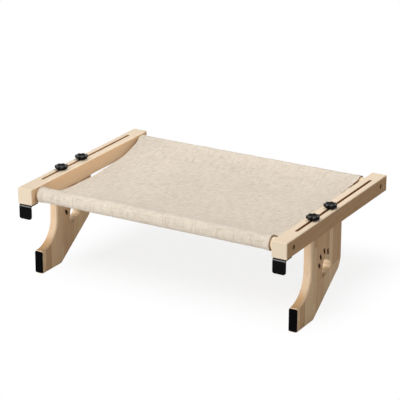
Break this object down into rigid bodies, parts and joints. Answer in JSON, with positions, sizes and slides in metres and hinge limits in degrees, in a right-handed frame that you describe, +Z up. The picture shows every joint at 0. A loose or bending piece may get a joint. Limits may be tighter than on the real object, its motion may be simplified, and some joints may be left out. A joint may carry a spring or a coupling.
{
  "type": "cat hammock",
  "caption": "Window-sill cat hammock: fabric sling on rods between slotted wooden rails, with front hooks and curved legs that slide along the rails and clamp by star knobs.",
  "frame": {"origin": "where the sill is gripped: mid-width, on the plane of the hook pads' gripping faces, level with the underside of the rails", "axes": "+X across the hammock to its right-hand rail, +Y from the hooks along the rails to their rear, +Z up"},
  "size_m": [0.55, 0.4, 0.1915],
  "materials": {
    "rail_wood": "clear satin lacquer",
    "leg_wood": "clear satin lacquer",
    "rod_wood": "plain sanded",
    "sling_fabric": "woven linen look",
    "hook_steel": "satin black coat",
    "pad_rubber": "matt",
    "knob_plastic": "fine grain",
    "hardware_steel": "zinc plated",
    "hardware_black": "black zinc",
    "insert_brass": "turned"
  },
  "bodies": {
    "frame": {"left_rail": "rail_wood", "right_rail": "rail_wood", "front_rod": "rod_wood", "rear_rod": "rod_wood", "front_rod_inserts": "insert_brass", "rear_rod_inserts": "insert_brass", "left_rod_bolts": "hardware_black", "right_rod_bolts": "hardware_black", "fabric_sling": "sling_fabric", "left_hook": "hook_steel", "right_hook": "hook_steel", "left_hook_pad": "pad_rubber", "right_hook_pad": "pad_rubber", "left_hook_screws": "hardware_steel", "right_hook_screws": "hardware_steel"},
    "left_leg": {"left_leg": "leg_wood", "left_foot_pad": "pad_rubber", "left_leg_nuts": "hardware_steel"},
    "left_front_washer": {"left_front_washer": "hardware_black"},
    "left_front_knob": {"left_front_knob": "knob_plastic", "left_front_stud": "hardware_steel"},
    "left_rear_washer": {"left_rear_washer": "hardware_black"},
    "left_rear_knob": {"left_rear_knob": "knob_plastic", "left_rear_stud": "hardware_steel"},
    "right_leg": {"right_leg": "leg_wood", "right_foot_pad": "pad_rubber", "right_leg_nuts": "hardware_steel"},
    "right_front_washer": {"right_front_washer": "hardware_black"},
    "right_front_knob": {"right_front_knob": "knob_plastic", "right_front_stud": "hardware_steel"},
    "right_rear_washer": {"right_rear_washer": "hardware_black"},
    "right_rear_knob": {"right_rear_knob": "knob_plastic", "right_rear_stud": "hardware_steel"}
  },
  "joints": [
    {"name": "left_leg_slide", "type": "slide", "parent": "frame", "child": "left_leg", "axis": [0, 1, 0], "range_m": [-0.0619, 0.1664]},
    {"name": "left_front_knob_lift", "type": "slide", "parent": "left_leg", "child": "left_front_washer", "axis": [0, 0, 1], "range_m": [0, 0.00241]},
    {"name": "left_front_knob_turn", "type": "hinge", "parent": "left_front_washer", "child": "left_front_knob", "pos_m": [-0.2618, 0.11775, 0.0305], "axis": [0, 0, 1], "range_deg": [0, 1080]},
    {"name": "left_rear_knob_lift", "type": "slide", "parent": "left_leg", "child": "left_rear_washer", "axis": [0, 0, 1], "range_m": [0, 0.00241]},
    {"name": "left_rear_knob_turn", "type": "hinge", "parent": "left_rear_washer", "child": "left_rear_knob", "pos_m": [-0.2618, 0.18575, 0.0305], "axis": [0, 0, 1], "range_deg": [0, 1080]},
    {"name": "right_leg_slide", "type": "slide", "parent": "frame", "child": "right_leg", "axis": [0, 1, 0], "range_m": [-0.0619, 0.1664]},
    {"name": "right_front_knob_lift", "type": "slide", "parent": "right_leg", "child": "right_front_washer", "axis": [0, 0, 1], "range_m": [0, 0.00241]},
    {"name": "right_front_knob_turn", "type": "hinge", "parent": "right_front_washer", "child": "right_front_knob", "pos_m": [0.2618, 0.11775, 0.0305], "axis": [0, 0, 1], "range_deg": [0, 1080]},
    {"name": "right_rear_knob_lift", "type": "slide", "parent": "right_leg", "child": "right_rear_washer", "axis": [0, 0, 1], "range_m": [0, 0.00241]},
    {"name": "right_rear_knob_turn", "type": "hinge", "parent": "right_rear_washer", "child": "right_rear_knob", "pos_m": [0.2618, 0.18575, 0.0305], "axis": [0, 0, 1], "range_deg": [0, 1080]}
  ],
  "couplings": [
    {"joint": "left_front_knob_lift", "follows": "left_front_knob_turn", "m_per_rad": 0.00012732},
    {"joint": "left_rear_knob_lift", "follows": "left_rear_knob_turn", "m_per_rad": 0.00012732},
    {"joint": "right_front_knob_lift", "follows": "right_front_knob_turn", "m_per_rad": 0.00012732},
    {"joint": "right_rear_knob_lift", "follows": "right_rear_knob_turn", "m_per_rad": 0.00012732}
  ]
}
